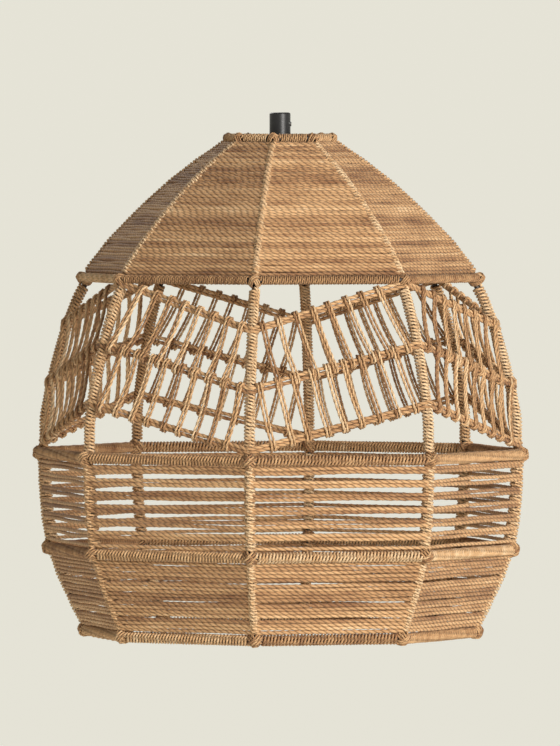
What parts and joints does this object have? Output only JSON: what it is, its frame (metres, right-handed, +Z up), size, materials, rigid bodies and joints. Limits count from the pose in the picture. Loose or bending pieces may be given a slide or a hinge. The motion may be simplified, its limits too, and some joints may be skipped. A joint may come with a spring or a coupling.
{
  "type": "lamp shade",
  "caption": "Egg-shaped faceted pendant lamp shade of woven paper cord on a wire cage, with an open zigzag band and a black screw lampholder.",
  "frame": {"origin": "mouth of the lampholder's neck, on the shade's vertical axis, where the flex goes in", "axes": "+Z up along the shade's axis; -Y through rib_1, a rib where the zigzag has its valley; +X through rib_3"},
  "size_m": [0.3048, 0.3048, 0.3227],
  "materials": {
    "paper_cord": "matte",
    "frame_wire": "satin",
    "lampholder_plastic": "satin",
    "ceramic_insert": "matte",
    "contact_brass": "satin",
    "plated_steel": "satin"
  },
  "bodies": {
    "holder": {"lampholder_cap": "lampholder_plastic", "cord_grip_screw": "lampholder_plastic", "lampholder_body": "lampholder_plastic", "contact_block": "ceramic_insert", "screw_shell": "contact_brass", "terminal_screw_1": "plated_steel", "terminal_screw_2": "plated_steel"},
    "shade": {"rib_1": "frame_wire", "rib_2": "frame_wire", "rib_3": "frame_wire", "rib_4": "frame_wire", "rib_5": "frame_wire", "rib_6": "frame_wire", "rib_7": "frame_wire", "rib_8": "frame_wire", "top_ring": "frame_wire", "shoulder_ring": "frame_wire", "belt_ring": "frame_wire", "lower_ring": "frame_wire", "bottom_ring": "frame_wire", "spider_arm_1": "frame_wire", "spider_arm_2": "frame_wire", "spider_arm_3": "frame_wire", "spider_arm_4": "frame_wire", "fitter_ring": "frame_wire", "crown_weave_1": "paper_cord", "crown_weave_2": "paper_cord", "crown_weave_3": "paper_cord", "crown_weave_4": "paper_cord", "crown_weave_5": "paper_cord", "crown_weave_6": "paper_cord", "crown_weave_7": "paper_cord", "crown_weave_8": "paper_cord", "open_weave_1": "paper_cord", "open_weave_2": "paper_cord", "open_weave_3": "paper_cord", "open_weave_4": "paper_cord", "open_weave_5": "paper_cord", "open_weave_6": "paper_cord", "open_weave_7": "paper_cord", "open_weave_8": "paper_cord", "belt_weave_1": "paper_cord", "belt_weave_2": "paper_cord", "belt_weave_3": "paper_cord", "belt_weave_4": "paper_cord", "belt_weave_5": "paper_cord", "belt_weave_6": "paper_cord", "belt_weave_7": "paper_cord", "belt_weave_8": "paper_cord", "hem_weave_1": "paper_cord", "hem_weave_2": "paper_cord", "hem_weave_3": "paper_cord", "hem_weave_4": "paper_cord", "hem_weave_5": "paper_cord", "hem_weave_6": "paper_cord", "hem_weave_7": "paper_cord", "hem_weave_8": "paper_cord"},
    "washer": {"slip_washer": "plated_steel"},
    "ring": {"shade_ring": "lampholder_plastic"},
    "contact": {"centre_contact": "contact_brass"}
  },
  "joints": [
    {"name": "shade_swivel", "type": "hinge", "parent": "holder", "child": "shade", "pos_m": [0, 0, -0.0377], "axis": [0, 0, 1], "continuous": true},
    {"name": "ring_travel", "type": "slide", "parent": "holder", "child": "washer", "axis": [0, 0, -1], "range_m": [0, 0.0125]},
    {"name": "ring_turn", "type": "hinge", "parent": "washer", "child": "ring", "pos_m": [0, 0, -0.0443], "axis": [0, 0, -1], "range_deg": [0, 1800]},
    {"name": "contact_press", "type": "hinge", "parent": "holder", "child": "contact", "pos_m": [-0.0085, 0, -0.0486], "axis": [0, -1, 0], "range_deg": [0, 8], "stiffness_Nm_per_rad": 0.3}
  ],
  "couplings": [
    {"joint": "ring_turn", "follows": "ring_travel", "rad_per_m": 2513.3}
  ]
}
